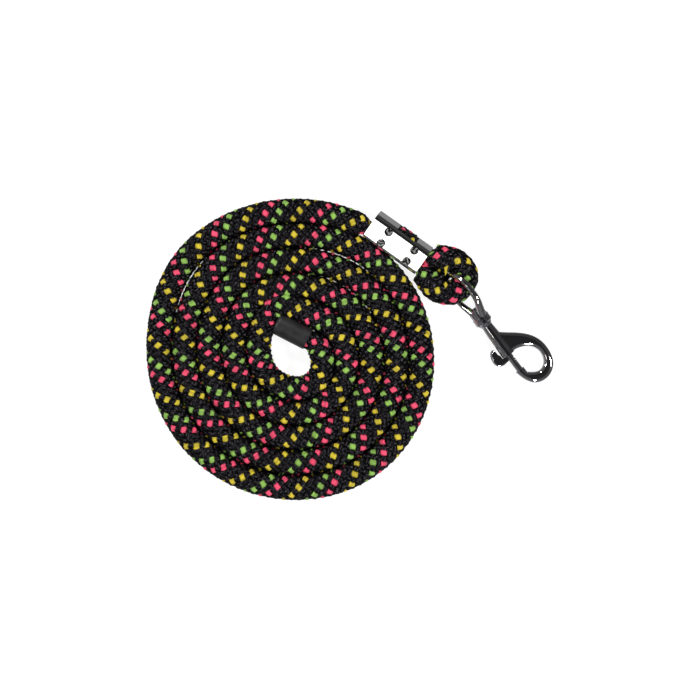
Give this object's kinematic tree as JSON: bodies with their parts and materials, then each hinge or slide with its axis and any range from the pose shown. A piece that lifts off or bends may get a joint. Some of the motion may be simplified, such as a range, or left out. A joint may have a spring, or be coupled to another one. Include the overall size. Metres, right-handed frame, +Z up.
{
  "type": "lead rope",
  "caption": "Braided horse lead rope lying in a flat coil, with a sheet-metal clamp that holds its loop round the swivel eye of a spring bolt snap.",
  "frame": {"origin": "under the middle of the whole part's box, on the surface that it lies on", "axes": "+Z up off the surface, +X along the part's longest extent, with the coil at -X and the snap at +X"},
  "size_m": [0.2951, 0.2166, 0.0283],
  "materials": {
    "rope": "round braid of bulky yarn, black with pink, yellow and green flecks",
    "sleeve": "matte, dark",
    "clamp": "bright nickel plate",
    "snap": "cast, polished and plated",
    "spring": "drawn wire"
  },
  "bodies": {
    "rope": {"rope_coil": "rope", "rope_lead_out": "rope", "rope_standing_strand": "rope", "rope_loop": "rope", "rope_tail_strand": "rope", "rope_free_end": "rope", "end_sleeve": "sleeve", "clamp_top_shell": "clamp", "clamp_bottom_shell": "clamp", "clamp_pin_1": "clamp", "clamp_pin_2": "clamp", "clamp_pin_3": "clamp", "clamp_pin_4": "clamp"},
    "eye": {"swivel_eye": "snap"},
    "hook": {"hook_body": "snap", "bolt_spring": "spring"},
    "bolt": {"bolt": "snap", "thumb_piece": "snap"}
  },
  "joints": [
    {"name": "eye_swing", "type": "hinge", "parent": "rope", "child": "eye", "pos_m": [0.07893, 0.04284, 0.0145], "axis": [-0.6952, -0.5948, 0.4036], "range_deg": [0, 75]},
    {"name": "swivel_spin", "type": "hinge", "parent": "eye", "child": "hook", "pos_m": [0.09677, 0.0195, 0.01084], "axis": [0.6027, -0.7883, -0.1236], "continuous": true},
    {"name": "bolt_slide", "type": "slide", "parent": "hook", "child": "bolt", "axis": [-0.6027, 0.7883, 0.1236], "range_m": [0, 0.0135], "stiffness_N_per_m": 400, "springref_m": -0.01, "deforming": ["bolt_spring"]}
  ]
}
